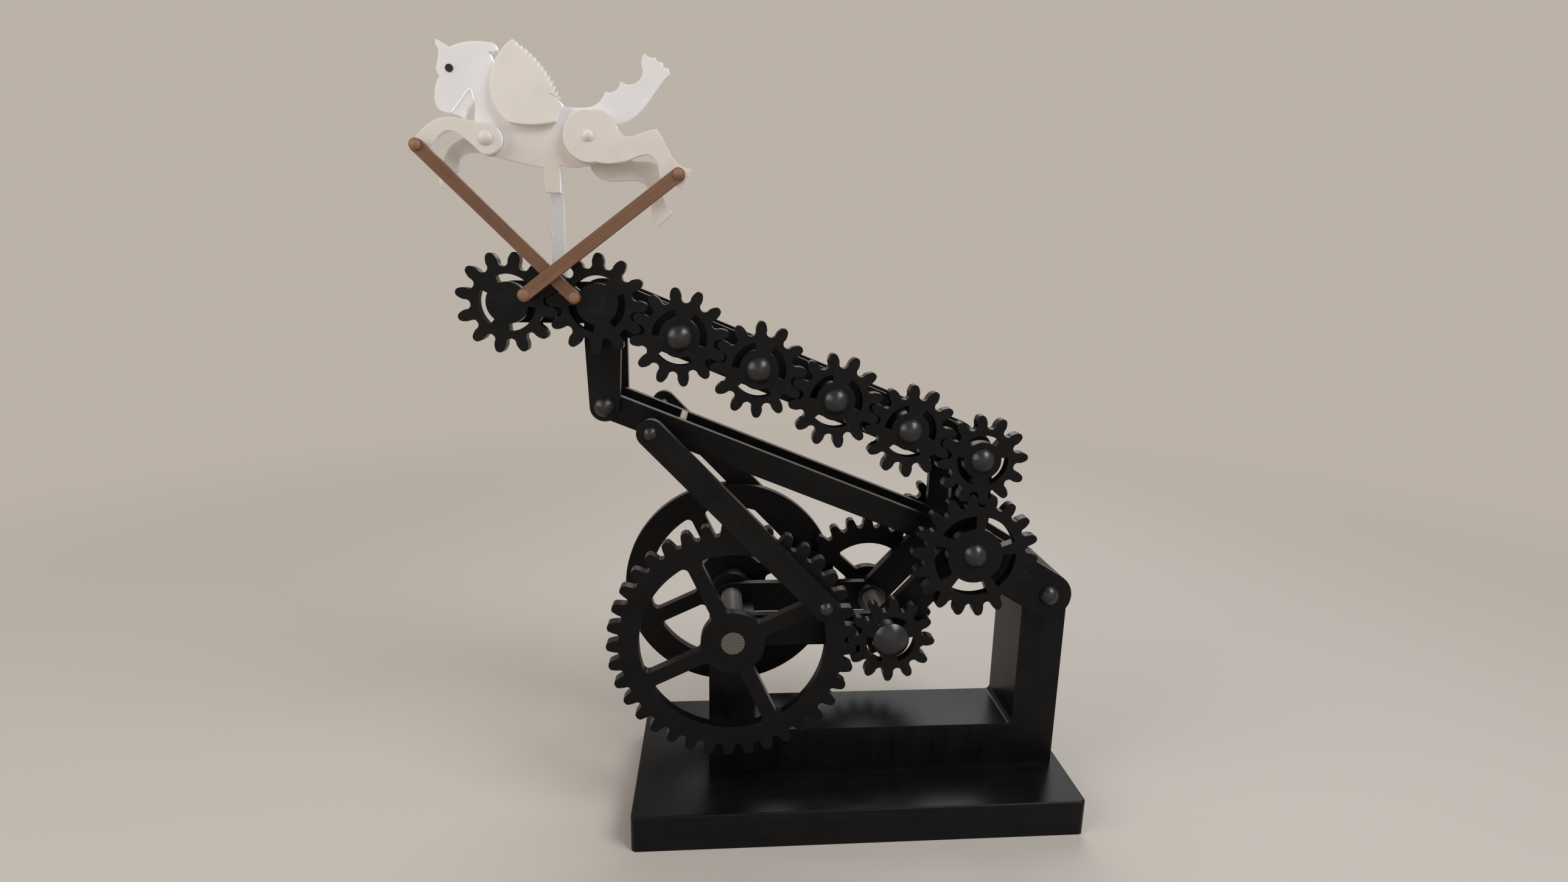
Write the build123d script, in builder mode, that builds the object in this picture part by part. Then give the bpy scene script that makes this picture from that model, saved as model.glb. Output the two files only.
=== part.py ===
"""Wooden crank automaton: a gear-driven swinging arm that carries a galloping winged horse.

Millimetres. The origin is the centre of the base board's underside, +X is to the right,
-Y is the front and +Z is up. The mechanism lies in layers from front to back.
"""
import os

from build123d import *
from math import acos, atan2, cos, degrees, hypot, pi, radians, sin, sqrt, tan

os.makedirs("parts", exist_ok=True)

# Fits and clearances
run_fit = 0.05          # radial clearance of a pin that turns in its bore
side_gap = 0.5          # between wooden layers that pass each other
thin_gap = 0.3          # between horse layers, sticks and pin heads that pass each other

# Base board and frame
base_length = 252.0
base_depth = 115.0
base_height = 21.0
base_round = 3.0
post_width = 26.0
post_depth = 40.0
foot_bar = 26.0
frame_corner = 3.0

# Pivots on the frame, as distances along X and heights above the base board
crank_x = -71.5
crank_height = 91.0
strut_x = 107.5
strut_height = 109.0
drive_lean = 47.8       # degrees from the countershaft up to the drive axle

# Gear train
module = 3.5
pressure = radians(20)
backlash = 0.15
wheel_teeth = 37
pinion_teeth = 12
counter_teeth = 25
drive_teeth = 18
gear_thick = 6.0
wheel_add, wheel_ded = 2.25, 4.45
pinion_add, pinion_ded = 3.1, 4.1
counter_add, counter_ded = 2.55, 4.25
drive_add, drive_ded = 2.9, 4.2
tip_crown = 0.8         # height of the rounding on each tooth tip
wheel_phase = 5.51      # degrees, one tooth of the crank gear
top_phase = 4.8         # degrees, one tooth of the top gear
wheel_rim_inner = 50.0
wheel_hub = 17.3
spoke_width = 8.0
spoke_angle = 25.0
hand_rim_outer = 66.0
hand_rim_inner = 51.0
hand_hub = 22.0
pinion_slot_in, pinion_slot_out = 9.9, 13.5
pinion_slot_sweep = 78.0
drive_slot_in, drive_slot_out = 15.0, 22.3
drive_slot_sweep = 55.0
counter_slot_in, counter_slot_out = 14.0, 29.5
hub_boss = 8.5

# Shafts, pegs and heads
dowel_r = 6.35
peg_r = 5.0
link_pin_r = 3.5
rod_pin_r = 3.0
peg_head, peg_head_high = 6.5, 4.0
counter_head = 9.6
strut_head = 5.75
link_head = 5.5
rod_head, rod_head_high = 3.5, 2.5
rod_foot_head = 3.8

# Plates, bars and rods
plate_thick = 5.0
arm_width = 18.2
strut_width = 26.0
upright_width = 22.0
bar_thick = 5.0
lower_bar_width = 14.0
upper_bar_width = 24.0
rod_width = 14.0
rod_thick = 5.0
chain_lean = 158.4      # degrees, rest direction of the arm from its pivots
chain_steps = 4         # gears carried by the upper bar
rod_pivot_reach = 183.4
crank_radius = 53.4
crank_lean = 23.4
front_collar = 9.0
rear_collar = 8.0
rear_bar_inset = 6.0
hand_wheel_gap = 2.0
spacer_from_link = 39.5
spacer_wide = 3.4
link_waist = 15.2
link_shoulder = 17.9
head_arm_width = 20.4

# Horse plates, sticks and their pins
horse_thick = 4.0
leg_thick = 3.4
wing_thick = 3.0
post_size = 6.0
post_x = -19.0          # from the right head gear
post_top = 62.2         # height of the belly over the head gears
tab_lap = 11.1
leg_pin_r = 2.0
shoulder_head = 3.3
hip_head = 2.5
leg_head_high = 1.5
stick_width = 6.0
stick_thick = 3.2
stick_pin_r = 1.5
stick_head = 2.6
throw_radius = 10.5
throw_right = 163.0
throw_left = 22.0
throw_pin_r = 2.0
throw_head_high = 0.5   # the pins in the head gears are nearly flush with their sticks
eye_r = 1.7

# Layer depths that follow from the sizes above, as distances from the middle plane
y_post = post_depth / 2
y_plate = y_post + plate_thick
y_gear = y_plate + front_collar
y_face = y_gear + gear_thick
y_rod = y_face + side_gap
y_bar = y_post - side_gap
y_rear_bar = y_bar - bar_thick - side_gap
y_rear_gear = y_plate + rear_collar
y_rear_face = y_rear_gear + gear_thick
y_hand = y_rear_face + hand_wheel_gap
y_hand_face = y_hand + gear_thick
y_rear_rod = y_hand_face + side_gap
y_horse = y_plate + post_size
y_near = y_horse + horse_thick
y_leg = y_near + thin_gap
y_stick = y_leg + leg_thick + 2.1
y_stick_two = y_stick + stick_thick + 0.4


def polar(radius, angle):
    """Point at a radius and an angle in radians."""
    return (radius * cos(angle), radius * sin(angle))


def along(start, distance, angle):
    """Point at a distance from another, at an angle in degrees."""
    return (start[0] + distance * cos(radians(angle)), start[1] + distance * sin(radians(angle)))


def front(depth, at=(0, 0)):
    """Plane that faces the front at a depth from the middle plane, centred on a pivot (x, z)."""
    return Plane(origin=(at[0], -depth, at[1]), x_dir=(1, 0, 0), z_dir=(0, -1, 0))


# Pivots of the mechanism at rest, as (x, z)
crank_axis = (crank_x, base_height + crank_height)
strut_axis = (strut_x, base_height + strut_height)
counter_axis = along(crank_axis, module * (wheel_teeth + pinion_teeth) / 2, 0)
drive_axis = along(counter_axis, module * (counter_teeth + pinion_teeth) / 2, drive_lean)
top_axis = along(drive_axis, module * (drive_teeth + pinion_teeth) / 2, 90)
gear_step = module * pinion_teeth
chain = [along(top_axis, gear_step * step, chain_lean) for step in range(1, chain_steps + 2)]
right_axis = chain[-1]
left_axis = along(right_axis, gear_step, 180)
link_axis = (right_axis[0], right_axis[1] - (top_axis[1] - drive_axis[1]))
rod_axis = along(drive_axis, rod_pivot_reach, chain_lean)
throw_axis = along(crank_axis, crank_radius, crank_lean)
horse_axis = (right_axis[0] + post_x, right_axis[1] + post_top - tab_lap)
shoulder = (-28.8, 22.7)
hip = (17.2, 25.1)
front_hoof = (-58.0, 18.1)
hind_hoof = (58.7, 8.5)
shoulder_axis = (horse_axis[0] + shoulder[0], horse_axis[1] + shoulder[1])
hip_axis = (horse_axis[0] + hip[0], horse_axis[1] + hip[1])
front_hoof_axis = (horse_axis[0] + front_hoof[0], horse_axis[1] + front_hoof[1])
hind_hoof_axis = (horse_axis[0] + hind_hoof[0], horse_axis[1] + hind_hoof[1])
right_throw = along(right_axis, throw_radius, throw_right)
left_throw = along(left_axis, throw_radius, throw_left)


def meshed(teeth, phase, other, lean):
    """Phase of a gear in degrees that meshes with one of a known phase at an angle from it."""
    pitch = 360 / teeth
    offset = (phase - lean + pitch / 2) % pitch - pitch / 2
    return lean + 180 - offset * teeth / other + 180 / other


counter_phase = meshed(wheel_teeth, wheel_phase, pinion_teeth, 0)
drive_phase = meshed(pinion_teeth, top_phase, drive_teeth, 270)
rear_drive_phase = meshed(counter_teeth, drive_lean, pinion_teeth, drive_lean)
chain_phase = [top_phase]
for step in range(chain_steps + 1):
    chain_phase.append(meshed(pinion_teeth, chain_phase[-1], pinion_teeth, chain_lean))
chain_phase.append(meshed(pinion_teeth, chain_phase[-1], pinion_teeth, 180))


def tooth_half(teeth, radius):
    """Half the angle, in radians, that an involute tooth fills at a radius."""
    pitch_r = module * teeth / 2
    roll = acos(min(1.0, pitch_r * cos(pressure) / radius))
    half_pitch = (pi * module / 2 - backlash) / (2 * pitch_r)
    return half_pitch + tan(pressure) - pressure - (tan(roll) - roll)


def spur(teeth, addendum, dedendum):
    """Outline of a spur gear with involute flanks, crowned tips and full-round roots."""
    pitch_r = module * teeth / 2
    base_r = pitch_r * cos(pressure)
    tip_r = pitch_r + addendum
    root_r = pitch_r - dedendum
    edge_r = tip_r - tip_crown
    foot_r = max(base_r, root_r + 1.0)
    middle_r = foot_r + 0.45 * (edge_r - foot_r)
    foot, middle, edge = (tooth_half(teeth, r) for r in (foot_r, middle_r, edge_r))
    pitch = 2 * pi / teeth
    with BuildSketch() as outline:
        with BuildLine():
            for tooth in range(teeth):
                at = tooth * pitch
                ThreePointArc(polar(foot_r, at - foot), polar(middle_r, at - middle), polar(edge_r, at - edge))
                ThreePointArc(polar(edge_r, at - edge), polar(tip_r, at), polar(edge_r, at + edge))
                ThreePointArc(polar(edge_r, at + edge), polar(middle_r, at + middle), polar(foot_r, at + foot))
                ThreePointArc(
                    polar(foot_r, at + foot),
                    polar(root_r, at + pitch / 2),
                    polar(foot_r, at + pitch - foot),
                )
        make_face()
    return outline.sketch


def arc_slots(inner, outer, sweep, count, first):
    """Arc-shaped windows with radial ends, evenly spaced round a hub."""
    half = radians(sweep / 2)
    with BuildSketch() as slot:
        with BuildLine():
            ThreePointArc(polar(inner, -half), polar(inner, 0), polar(inner, half))
            Line(polar(inner, half), polar(outer, half))
            ThreePointArc(polar(outer, half), polar(outer, 0), polar(outer, -half))
            Line(polar(outer, -half), polar(inner, -half))
        make_face()
    with BuildSketch() as slots:
        with PolarLocations(0, count, start_angle=first):
            add(slot.sketch)
    return slots.sketch


def spoke_windows(inner, outer, width, count, first, corner):
    """The windows that straight spokes leave between a hub and a rim."""
    with BuildSketch() as windows:
        Circle(outer)
        Circle(inner, mode=Mode.SUBTRACT)
        with PolarLocations(0, count, start_angle=first):
            Rectangle(outer * 2, width, align=(Align.MIN, Align.CENTER), mode=Mode.SUBTRACT)
        fillet(windows.vertices(), corner)
    return windows.sketch


def strut(start, end, width):
    """Draws a round-ended bar between two points of the sketch in hand."""
    run, rise = end[0] - start[0], end[1] - start[1]
    with Locations(((start[0] + end[0]) / 2, (start[1] + end[1]) / 2)):
        SlotCenterToCenter(hypot(run, rise), width, rotation=degrees(atan2(rise, run)))


def button(depth, at, radius, height):
    """A domed head that stands to the front of a depth, round a pivot."""
    with BuildPart() as head:
        with BuildSketch(Plane(origin=(at[0], -depth, at[1]), x_dir=(1, 0, 0), z_dir=(0, 0, 1))):
            with BuildLine():
                Line((0, 0), (radius, 0))
                RadiusArc((radius, 0), (0, -height), (radius ** 2 + height ** 2) / (2 * height))
                Line((0, -height), (0, 0))
            make_face()
        revolve(axis=Axis((at[0], 0, at[1]), (0, 1, 0)))
    return head.part


def keep(piece, name):
    """Labels a finished piece and writes it."""
    piece.part.label = name
    export_step(piece.part, f"parts/{name}.step")


pinion_outline = spur(pinion_teeth, pinion_add, pinion_ded)
drive_outline = spur(drive_teeth, drive_add, drive_ded)
counter_outline = spur(counter_teeth, counter_add, counter_ded)
wheel_outline = spur(wheel_teeth, wheel_add, wheel_ded)


# ---------------------------------------------------------------- base board and U-shaped frame
with BuildPart() as base_board:
    with BuildSketch():
        RectangleRounded(base_length, base_depth, base_round)
    extrude(amount=base_height)
    fillet(base_board.edges().group_by(Axis.Z)[-1], 1.0)
keep(base_board, "base_board")

with BuildPart() as u_frame:
    left, right = crank_x - post_width / 2, strut_x + post_width / 2
    with BuildSketch(front(-y_post)) as side:
        with Locations(((left + right) / 2, base_height)):
            Rectangle(right - left, foot_bar, align=(Align.CENTER, Align.MIN))
        for axis in (crank_axis, strut_axis):
            with Locations((axis[0], base_height)):
                Rectangle(post_width, axis[1] - base_height, align=(Align.CENTER, Align.MIN))
        # The left post ends flat in a half-round saddle for the shaft, the right one ends round
        with Locations(strut_axis):
            Circle(post_width / 2)
        inner = side.vertices().filter_by_position(Axis.X, left + 1, right - 1)
        fillet(inner.filter_by_position(Axis.Y, base_height + 1, base_height + foot_bar + 1), frame_corner)
    extrude(amount=post_depth)
    with BuildSketch(front(-y_post)):
        with Locations(crank_axis):
            Circle(dowel_r + run_fit)
        with Locations(strut_axis):
            Circle(peg_r)
    extrude(amount=post_depth, mode=Mode.SUBTRACT)
keep(u_frame, "u_frame")

# The two side plates are alike: a lower arm, a wide strut to the right post and an upright
for name, depth in (("front_side_plate", y_post), ("rear_side_plate", -y_plate)):
    with BuildPart() as side_plate:
        with BuildSketch(front(depth)):
            strut(crank_axis, counter_axis, arm_width)
            strut(counter_axis, drive_axis, arm_width)
            strut(drive_axis, strut_axis, strut_width)
            strut(drive_axis, top_axis, upright_width)
            with Locations(crank_axis, counter_axis):
                Circle(dowel_r + run_fit, mode=Mode.SUBTRACT)
            with Locations(drive_axis):
                Circle(peg_r + run_fit, mode=Mode.SUBTRACT)
            with Locations(strut_axis, top_axis):
                Circle(peg_r, mode=Mode.SUBTRACT)
        extrude(amount=plate_thick)
    keep(side_plate, name)

with BuildPart() as strut_peg:
    with BuildSketch(front(-y_plate, strut_axis)):
        Circle(peg_r)
    extrude(amount=2 * y_plate)
    add(button(y_plate, strut_axis, strut_head, peg_head_high))
keep(strut_peg, "strut_peg")

# ---------------------------------------------------------------- crank gear, shaft and hand wheel
with BuildPart() as main_gear:
    with BuildSketch(front(y_gear, crank_axis)):
        add(wheel_outline, rotation=wheel_phase)
        add(
            spoke_windows(wheel_hub, wheel_rim_inner, spoke_width, 4, spoke_angle, 3.0),
            mode=Mode.SUBTRACT,
        )
    extrude(amount=gear_thick)
    with BuildSketch(front(y_plate + thin_gap, crank_axis)):
        Circle(wheel_hub - 4)
    extrude(amount=front_collar - thin_gap)
    with BuildSketch(front(y_plate, crank_axis)):
        Circle(dowel_r)
    extrude(amount=y_face, mode=Mode.SUBTRACT)
    with BuildSketch(front(y_gear, throw_axis)):
        Circle(rod_pin_r)
    extrude(amount=gear_thick, mode=Mode.SUBTRACT)
keep(main_gear, "main_gear")

with BuildPart() as hand_wheel:
    with BuildSketch(front(-y_hand_face, crank_axis)):
        Circle(hand_rim_outer)
        add(
            spoke_windows(hand_hub, hand_rim_inner, spoke_width + 1, 4, spoke_angle, 3.0),
            mode=Mode.SUBTRACT,
        )
    extrude(amount=gear_thick)
    with BuildSketch(front(-y_hand, crank_axis)):
        Circle(wheel_hub - 4)
    extrude(amount=y_hand - y_plate - thin_gap)
    with BuildSketch(front(-y_hand_face, crank_axis)):
        Circle(dowel_r)
    extrude(amount=y_hand_face - y_plate, mode=Mode.SUBTRACT)
    with BuildSketch(front(-y_hand_face, throw_axis)):
        Circle(rod_pin_r)
    extrude(amount=gear_thick, mode=Mode.SUBTRACT)
keep(hand_wheel, "hand_wheel")

with BuildPart() as main_shaft:
    with BuildSketch(front(-y_hand_face, crank_axis)):
        Circle(dowel_r)
    extrude(amount=y_hand_face + y_face)
keep(main_shaft, "main_shaft")

# The crank pins stop just short of the rods, one at each end of the shaft
with BuildPart() as crank_pins:
    with BuildSketch(front(y_gear, throw_axis)):
        Circle(rod_pin_r)
    extrude(amount=y_rod - y_gear - thin_gap)
    with BuildSketch(front(-y_rear_rod + thin_gap, throw_axis)):
        Circle(rod_pin_r)
    extrude(amount=y_rear_rod - y_hand - thin_gap)
keep(crank_pins, "crank_pins")

# ---------------------------------------------------------------- countershaft
with BuildPart() as counter_shaft:
    with BuildSketch(front(-y_rear_face, counter_axis)):
        Circle(dowel_r)
    extrude(amount=y_rear_face + y_face)
    add(button(y_face, counter_axis, counter_head, peg_head_high))
keep(counter_shaft, "counter_shaft")

with BuildPart() as counter_pinion:
    with BuildSketch(front(y_gear, counter_axis)):
        add(pinion_outline, rotation=counter_phase)
        add(
            arc_slots(pinion_slot_in, pinion_slot_out, pinion_slot_sweep, 3, 90),
            mode=Mode.SUBTRACT,
        )
    extrude(amount=gear_thick)
    with BuildSketch(front(y_plate + thin_gap, counter_axis)):
        Circle(hub_boss)
    extrude(amount=front_collar - thin_gap)
    with BuildSketch(front(y_plate, counter_axis)):
        Circle(dowel_r)
    extrude(amount=y_face, mode=Mode.SUBTRACT)
keep(counter_pinion, "counter_pinion")

with BuildPart() as counter_gear:
    with BuildSketch(front(-y_rear_face, counter_axis)):
        add(counter_outline, rotation=drive_lean)
        add(
            spoke_windows(counter_slot_in, counter_slot_out, spoke_width, 4, drive_lean, 2.0),
            mode=Mode.SUBTRACT,
        )
    extrude(amount=gear_thick)
    with BuildSketch(front(-y_rear_gear, counter_axis)):
        Circle(hub_boss)
    extrude(amount=rear_collar - thin_gap)
    with BuildSketch(front(-y_rear_face, counter_axis)):
        Circle(dowel_r)
    extrude(amount=y_rear_face - y_plate, mode=Mode.SUBTRACT)
keep(counter_gear, "counter_gear")

with BuildPart() as counter_collars:
    for depth in (y_post - thin_gap - bar_thick, -y_post + thin_gap):
        with BuildSketch(front(depth, counter_axis)):
            Circle(hub_boss)
            Circle(dowel_r, mode=Mode.SUBTRACT)
        extrude(amount=bar_thick)
keep(counter_collars, "counter_collars")

# ---------------------------------------------------------------- drive axle, on which the lower bars swing
with BuildPart() as drive_axle:
    with BuildSketch(front(-y_rear_face, drive_axis)):
        Circle(peg_r)
    extrude(amount=y_rear_face + y_face)
    add(button(y_face, drive_axis, peg_head, peg_head_high))
keep(drive_axle, "drive_axle")

with BuildPart() as drive_gear:
    with BuildSketch(front(y_gear, drive_axis)):
        add(drive_outline, rotation=drive_phase)
        add(arc_slots(drive_slot_in, drive_slot_out, drive_slot_sweep, 5, 263.5), mode=Mode.SUBTRACT)
    extrude(amount=gear_thick)
    with BuildSketch(front(y_plate + thin_gap, drive_axis)):
        Circle(hub_boss)
    extrude(amount=front_collar - thin_gap)
    with BuildSketch(front(y_plate, drive_axis)):
        Circle(peg_r)
    extrude(amount=y_face, mode=Mode.SUBTRACT)
keep(drive_gear, "drive_gear")

with BuildPart() as drive_pinion:
    with BuildSketch(front(-y_rear_face, drive_axis)):
        add(pinion_outline, rotation=rear_drive_phase)
        add(
            arc_slots(pinion_slot_in, pinion_slot_out, pinion_slot_sweep, 3, 90),
            mode=Mode.SUBTRACT,
        )
    extrude(amount=gear_thick)
    with BuildSketch(front(-y_rear_gear, drive_axis)):
        Circle(hub_boss)
    extrude(amount=rear_collar - thin_gap)
    with BuildSketch(front(-y_rear_face, drive_axis)):
        Circle(peg_r)
    extrude(amount=y_rear_face - y_plate, mode=Mode.SUBTRACT)
keep(drive_pinion, "drive_pinion")

# ---------------------------------------------------------------- pinions that run on domed pegs
# Each entry: name, pivot, phase, window angle, face that its boss runs against, head or crank pin
pinions = [
    ("top_gear", top_axis, chain_phase[0], 90, y_plate),
    ("chain_gear_1", chain[0], chain_phase[1], 17, y_bar),
    ("chain_gear_2", chain[1], chain_phase[2], 137, y_bar),
    ("chain_gear_3", chain[2], chain_phase[3], 257, y_bar),
    ("chain_gear_4", chain[3], chain_phase[4], 257, y_bar),
    ("right_head_gear", right_axis, chain_phase[5], throw_right + 60, y_plate),
    ("left_head_gear", left_axis, chain_phase[6], throw_left - 70, y_plate),
]
for name, axis, phase, window, seat in pinions:
    with BuildPart() as pinion:
        with BuildSketch(front(y_gear, axis)):
            add(pinion_outline, rotation=phase)
            add(
                arc_slots(pinion_slot_in, pinion_slot_out, pinion_slot_sweep, 3, window),
                mode=Mode.SUBTRACT,
            )
        extrude(amount=gear_thick)
        with BuildSketch(front(seat + thin_gap, axis)):
            Circle(hub_boss)
        extrude(amount=y_gear - seat - thin_gap)
        with BuildSketch(front(seat, axis)):
            Circle(peg_r + run_fit)
        extrude(amount=y_face, mode=Mode.SUBTRACT)
        if name == "right_head_gear":
            with BuildSketch(front(y_gear, right_throw)):
                Circle(throw_pin_r)
            extrude(amount=y_stick - y_gear - thin_gap)
        if name == "left_head_gear":
            with BuildSketch(front(y_gear, left_throw)):
                Circle(throw_pin_r)
            extrude(amount=y_stick_two - y_gear - thin_gap)
    keep(pinion, name)

# Each entry: name, pivot, depth of the peg's back end, whether it has a domed head
pegs = [
    ("top_axle", top_axis, -y_plate, True),
    ("chain_axle_1", chain[0], -y_rear_bar, True),
    ("chain_axle_2", chain[1], -y_rear_bar, True),
    ("chain_axle_3", chain[2], -y_rear_bar, True),
    ("chain_axle_4", chain[3], -y_rear_bar, True),
    ("right_head_axle", right_axis, -y_rear_bar - side_gap - bar_thick, False),
    ("left_head_axle", left_axis, y_post, False),
]
for name, axis, back, domed in pegs:
    with BuildPart() as peg:
        with BuildSketch(front(back, axis)):
            Circle(peg_r)
        extrude(amount=y_face - back)
        if domed:
            with BuildSketch(front(y_face, axis)):
                Circle(peg_r)
            extrude(amount=thin_gap)
            add(button(y_face + thin_gap, axis, peg_head, peg_head_high))
    keep(peg, name)

# ---------------------------------------------------------------- swinging arm: two pairs of parallel bars
for name, depth in (("lower_bar_front", y_bar - bar_thick), ("lower_bar_rear", -y_rear_bar)):
    with BuildPart() as lower_bar:
        with BuildSketch(front(depth)):
            strut(drive_axis, link_axis, lower_bar_width)
            with Locations(drive_axis):
                Circle(peg_r + run_fit, mode=Mode.SUBTRACT)
            with Locations(link_axis):
                Circle(link_pin_r, mode=Mode.SUBTRACT)
            with Locations(rod_axis):
                Circle(rod_pin_r + run_fit, mode=Mode.SUBTRACT)
        extrude(amount=bar_thick)
    keep(lower_bar, name)

for name, depth in (("upper_bar_front", y_bar - bar_thick), ("upper_bar_rear", -y_rear_bar)):
    with BuildPart() as upper_bar:
        with BuildSketch(front(depth)):
            strut(top_axis, right_axis, upper_bar_width)
            with Locations(top_axis, *chain):
                Circle(peg_r + run_fit, mode=Mode.SUBTRACT)
        extrude(amount=bar_thick)
    keep(upper_bar, name)

with BuildPart() as arm_spacer:
    spacer_at = along(link_axis, spacer_from_link, chain_lean + 180)
    with BuildSketch(front(-y_rear_bar + bar_thick, spacer_at)):
        Rectangle(spacer_wide, lower_bar_width, rotation=chain_lean + 180)
    extrude(amount=y_rear_bar + y_bar - 2 * bar_thick)
keep(arm_spacer, "arm_spacer")

with BuildPart() as link_pin:
    with BuildSketch(front(-y_rear_bar - side_gap - bar_thick, link_axis)):
        Circle(link_pin_r)
    extrude(amount=y_rear_bar + side_gap + bar_thick + y_plate + thin_gap)
    add(button(y_plate + thin_gap, link_axis, link_head, peg_head_high))
keep(link_pin, "link_pin")

# ---------------------------------------------------------------- head links and the clear post
with BuildPart() as head_link_front:
    with BuildSketch(front(y_post)):
        shoulder_z = link_axis[1] + 0.62 * (right_axis[1] - link_axis[1])
        with Locations(link_axis):
            Circle(link_waist / 2)
        with BuildLine():
            Polyline(
                (link_axis[0] - link_waist / 2, link_axis[1]),
                (link_axis[0] + link_waist / 2, link_axis[1]),
                (link_axis[0] + link_shoulder / 2, shoulder_z),
                (link_axis[0] + head_arm_width / 2, right_axis[1]),
                (link_axis[0] - link_shoulder / 2, right_axis[1]),
                (link_axis[0] - link_shoulder / 2, shoulder_z),
                close=True,
            )
        make_face()
        strut(right_axis, left_axis, head_arm_width)
        with Locations(link_axis):
            Circle(link_pin_r + run_fit, mode=Mode.SUBTRACT)
        with Locations(right_axis, left_axis):
            Circle(peg_r + run_fit, mode=Mode.SUBTRACT)
    extrude(amount=plate_thick)
keep(head_link_front, "head_link_front")

with BuildPart() as head_link_rear:
    with BuildSketch(front(-y_rear_bar - side_gap - bar_thick)):
        strut(link_axis, right_axis, link_waist)
        with Locations(link_axis):
            Circle(link_pin_r + run_fit, mode=Mode.SUBTRACT)
        with Locations(right_axis):
            Circle(peg_r + run_fit, mode=Mode.SUBTRACT)
    extrude(amount=bar_thick)
keep(head_link_rear, "head_link_rear")

with BuildPart() as clear_post:
    foot_z = right_axis[1] - head_arm_width / 2 + 1.5
    with BuildSketch(front(y_plate)):
        with Locations((horse_axis[0], foot_z)):
            Rectangle(post_size, horse_axis[1] + tab_lap - foot_z, align=(Align.CENTER, Align.MIN))
    extrude(amount=post_size)
    chamfer(clear_post.edges().filter_by(Axis.Z), 0.6)
keep(clear_post, "clear_post")

# ---------------------------------------------------------------- horse, seen from its left side
# Each tuft of the tail's upper edge: root, belly of the curl, tip
tail_tufts = [
    ((17.4, 38.0), (21.8, 40.2), (25.0, 45.0)),
    ((25.0, 45.0), (28.9, 45.2), (32.0, 49.6)),
    ((32.0, 49.6), (38.2, 48.9), (42.3, 55.2)),
    ((42.3, 55.2), (41.7, 58.6), (43.2, 62.0)),
    ((43.2, 62.0), (45.6, 60.4), (48.2, 60.4)),
    ((48.2, 60.4), (49.2, 58.8), (51.3, 58.6)),
    ((51.3, 58.6), (51.9, 56.6), (53.9, 56.2)),
]

with BuildPart() as horse_body:
    with BuildSketch(front(y_horse, horse_axis)):
        with BuildLine():
            Line((-49.4, 62.2), (-48.9, 64.5))
            Line((-48.9, 64.5), (-43.3, 61.3))
            Spline((-43.3, 61.3), (-36.4, 63.6), (-25.5, 63.8))
            ThreePointArc((-25.5, 63.8), (-22.9, 62.2), (-26.2, 60.3))
            Spline((-26.2, 60.3), (-16.0, 46.0), (2.0, 38.6), (17.4, 38.0))
            for root, belly, tip in tail_tufts:
                ThreePointArc(root, belly, tip)
            Line(tail_tufts[-1][2], (54.6, 53.4))
            Spline((54.6, 53.4), (45.6, 42.6), (37.4, 34.1), (29.8, 31.4))
            Spline((29.8, 31.4), (27.6, 20.5), (18.6, 13.6), (post_size / 2, 12.6))
            Line((post_size / 2, 12.6), (post_size / 2, 0))
            Line((post_size / 2, 0), (-post_size / 2 - 1, 0))
            Line((-post_size / 2 - 1, 0), (-post_size / 2 - 1, tab_lap))
            Spline((-post_size / 2 - 1, tab_lap), (-18.3, 13.6), (-33.0, 17.0))
            Spline((-33.0, 17.0), (-35.0, 22.5), (-34.4, 30.0), (-33.6, 38.3))
            Spline((-33.6, 38.3), (-36.6, 36.2), (-39.3, 31.5))
            Spline((-39.3, 31.5), (-45.0, 33.4), (-50.0, 35.2), (-51.2, 39.6), (-48.4, 49.0))
            Spline((-48.4, 49.0), (-49.5, 53.0), (-48.2, 57.6), (-49.4, 62.2))
        make_face()
        with Locations(shoulder, hip):
            Circle(leg_pin_r + run_fit, mode=Mode.SUBTRACT)
        with Locations((-43.9, 52.5)):
            Circle(eye_r, mode=Mode.SUBTRACT)
    extrude(amount=horse_thick)
keep(horse_body, "horse_body")

with BuildPart() as eye:
    with BuildSketch(front(y_horse, (horse_axis[0] - 43.9, horse_axis[1] + 52.5))):
        Circle(eye_r)
    extrude(amount=horse_thick + thin_gap)
keep(eye, "eye")

wing_apex, wing_corner = (-14.8, 64.9), (3.7, 42.6)
wing_bulge = 3.0        # how far the feathered edge bows out from its chord
feather_count = 12
feather_cut = 1.7


def feathers(start, end, bulge, count, cut):
    """Draws a saw-toothed edge that bows out to the right between two points."""
    run, rise = end[0] - start[0], end[1] - start[1]
    span = hypot(run, rise)
    across = (-rise / span, run / span)
    points = [start]
    for feather in range(1, count + 1):
        for part, notch in ((feather - 0.12, 0), (feather, cut)):
            share = part / count
            out = 4 * bulge * share * (1 - share) - notch
            points.append((start[0] + run * share + out * across[0], start[1] + rise * share + out * across[1]))
    points[-1] = end
    Polyline(*points)


# A wing is glued to each side of the body
for name, depth in (("near_wing", y_near), ("far_wing", y_horse - wing_thick)):
    with BuildPart() as wing:
        with BuildSketch(front(depth, horse_axis)):
            with BuildLine():
                Spline((-18.5, 30.2), (-25.2, 41.0), (-22.7, 56.3), wing_apex)
                feathers(wing_apex, wing_corner, wing_bulge, feather_count, feather_cut)
                Line(wing_corner, (0.1, 42.5))
                ThreePointArc((0.1, 42.5), (4.2, 40.4), (5.8, 37.8))
                Spline((5.8, 37.8), (4.2, 34.8), (2.5, 31.0))
                ThreePointArc((2.5, 31.0), (-8.0, 29.4), (-18.5, 30.2))
            make_face()
        extrude(amount=wing_thick)
    keep(wing, name)

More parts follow.
